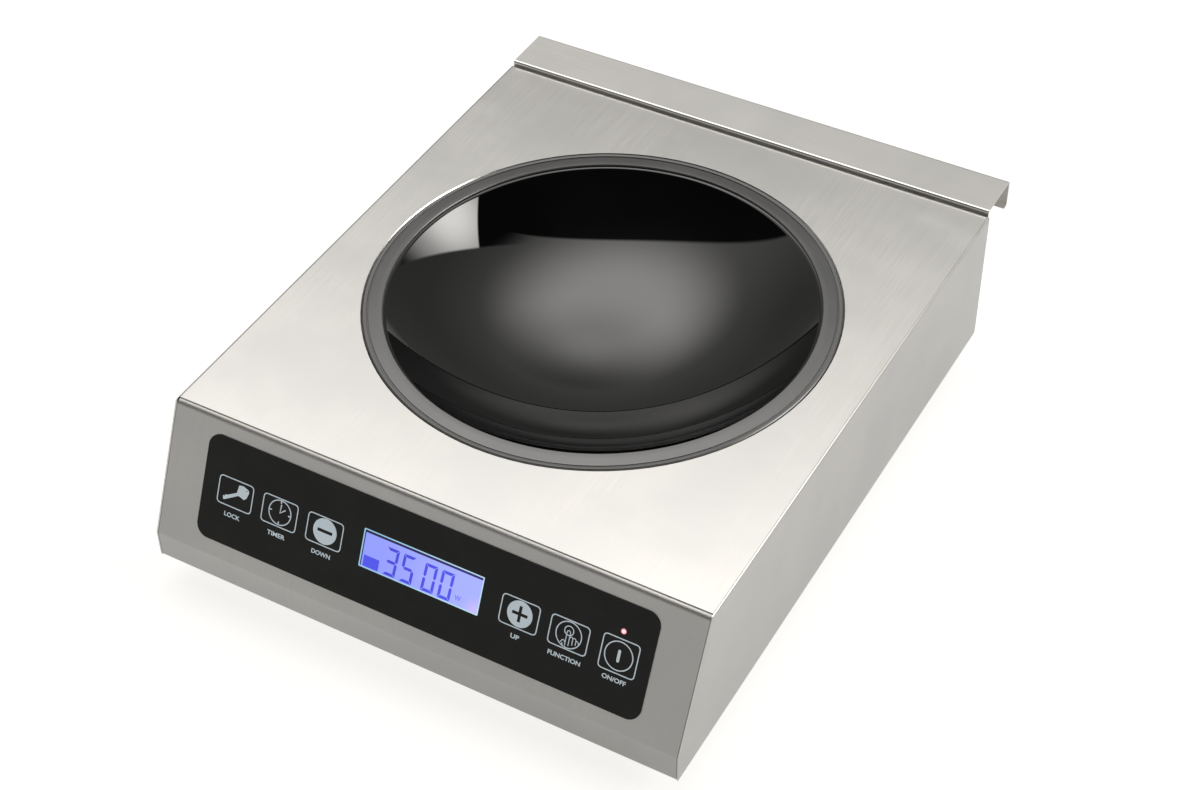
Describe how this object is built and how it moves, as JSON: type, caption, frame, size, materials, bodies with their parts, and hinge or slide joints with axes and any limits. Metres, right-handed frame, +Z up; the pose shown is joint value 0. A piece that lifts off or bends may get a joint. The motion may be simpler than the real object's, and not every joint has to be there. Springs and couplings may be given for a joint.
{
  "type": "induction wok cooktop",
  "caption": "Counter-top induction wok cooker: brushed steel case, round black glass bowl in a grey ring, sloped key panel with display, rear exhaust hood.",
  "frame": {"origin": "on the surface the feet stand on, under the centre of the whole cooker", "axes": "+X to the cooker's right seen from its front, +Y to its back, +Z up"},
  "size_m": [0.34, 0.438, 0.1182],
  "materials": {
    "brushed_steel": "fine straight brushing, satin",
    "plain_steel": "mill finish, dull",
    "screw_steel": "plated, semi-gloss",
    "brass_posts": "turned, semi-gloss",
    "foot_rubber": "matte",
    "ring_rubber": "satin dark grey, moulded",
    "seal_silicone": "soft, matte",
    "black_glass": "polished opaque black glass",
    "mica": "pressed mica sheet, matte",
    "copper": "enamelled copper",
    "grey_plastic": "moulded, matte",
    "ferrite": "sintered, matte",
    "aluminium": "extruded, satin",
    "black_plastic": "moulded, fine texture",
    "circuit_board": "solder mask, satin",
    "component_black": "moulded epoxy",
    "component_red": "moulded box, semi-gloss",
    "component_green": "moulded",
    "fuse_glass": "clear tube",
    "lead_insulation": "extruded insulation",
    "display_glass": "lit liquid-crystal panel",
    "backlight": "light guide, lit",
    "window_plastic": "clear hard-coated window",
    "lamp_red": "lit red lens",
    "overlay_film": "printed polyester film, fine satin texture",
    "overlay_print": "screen-printed pale grey",
    "display_print": "dark blue liquid-crystal segments"
  },
  "bodies": {
    "housing": {"air_guides": "grey_plastic", "base_tray": "plain_steel", "board_posts": "brass_posts", "bowl_carrier": "plain_steel", "bowl_seal": "seal_silicone", "bridge_rectifier": "component_black", "cable_gland": "black_plastic", "carrier_studs": "screw_steel", "case_screws": "screw_steel", "choke_core": "ferrite", "choke_winding": "copper", "coil_former": "grey_plastic", "coil_leads": "lead_insulation", "coil_posts": "brass_posts", "control_board": "circuit_board", "control_posts": "brass_posts", "display_backlight": "backlight", "display_module": "display_glass", "display_window": "window_plastic", "earth_stud": "brass_posts", "exhaust_hood": "brushed_steel", "fan_frames": "black_plastic", "fan_screws": "screw_steel", "ferrite_bars": "ferrite", "film_capacitors": "component_red", "foot_screws": "screw_steel", "front_panel": "brushed_steel", "fuse": "fuse_glass", "fuse_clips": "brass_posts", "gland_nut": "black_plastic", "heat_sink": "aluminium", "indicator_lamp": "lamp_red", "induction_coil": "copper", "insulation_dish": "mica", "key_switches": "component_black", "lock_nuts": "screw_steel", "mains_leads": "lead_insulation", "membrane_overlay": "overlay_film", "power_board": "circuit_board", "power_transistors": "component_black", "rear_panel": "plain_steel", "ribbon_lead": "grey_plastic", "rubber_feet": "foot_rubber", "sensor_holder": "grey_plastic", "sensor_spring": "screw_steel", "temperature_sensor": "aluminium", "terminal_block": "component_green", "top_cover": "brushed_steel", "trim_ring": "ring_rubber", "wok_bowl": "black_glass"},
    "key_lock": {"key_lock": "overlay_film"},
    "key_timer": {"key_timer": "overlay_film"},
    "key_down": {"key_down": "overlay_film"},
    "key_up": {"key_up": "overlay_film"},
    "key_function": {"key_function": "overlay_film"},
    "key_power": {"key_power": "overlay_film"},
    "fan_left": {"fan_rotor_left": "black_plastic"},
    "fan_right": {"fan_rotor_right": "black_plastic"}
  },
  "joints": [
    {"name": "press_lock", "type": "slide", "parent": "housing", "child": "key_lock", "axis": [0, 0.9026, -0.4305], "range_m": [0, 0.0004], "stiffness_N_per_m": 4000},
    {"name": "press_timer", "type": "slide", "parent": "housing", "child": "key_timer", "axis": [0, 0.9026, -0.4305], "range_m": [0, 0.0004], "stiffness_N_per_m": 4000},
    {"name": "press_down", "type": "slide", "parent": "housing", "child": "key_down", "axis": [0, 0.9026, -0.4305], "range_m": [0, 0.0004], "stiffness_N_per_m": 4000},
    {"name": "press_up", "type": "slide", "parent": "housing", "child": "key_up", "axis": [0, 0.9026, -0.4305], "range_m": [0, 0.0004], "stiffness_N_per_m": 4000},
    {"name": "press_function", "type": "slide", "parent": "housing", "child": "key_function", "axis": [0, 0.9026, -0.4305], "range_m": [0, 0.0004], "stiffness_N_per_m": 4000},
    {"name": "press_power", "type": "slide", "parent": "housing", "child": "key_power", "axis": [0, 0.9026, -0.4305], "range_m": [0, 0.0004], "stiffness_N_per_m": 4000},
    {"name": "spin_left", "type": "hinge", "parent": "housing", "child": "fan_left", "pos_m": [-0.105, -0.095, 0.035], "axis": [0, 0, 1], "continuous": true},
    {"name": "spin_right", "type": "hinge", "parent": "housing", "child": "fan_right", "pos_m": [0.105, -0.095, 0.035], "axis": [0, 0, 1], "continuous": true}
  ]
}
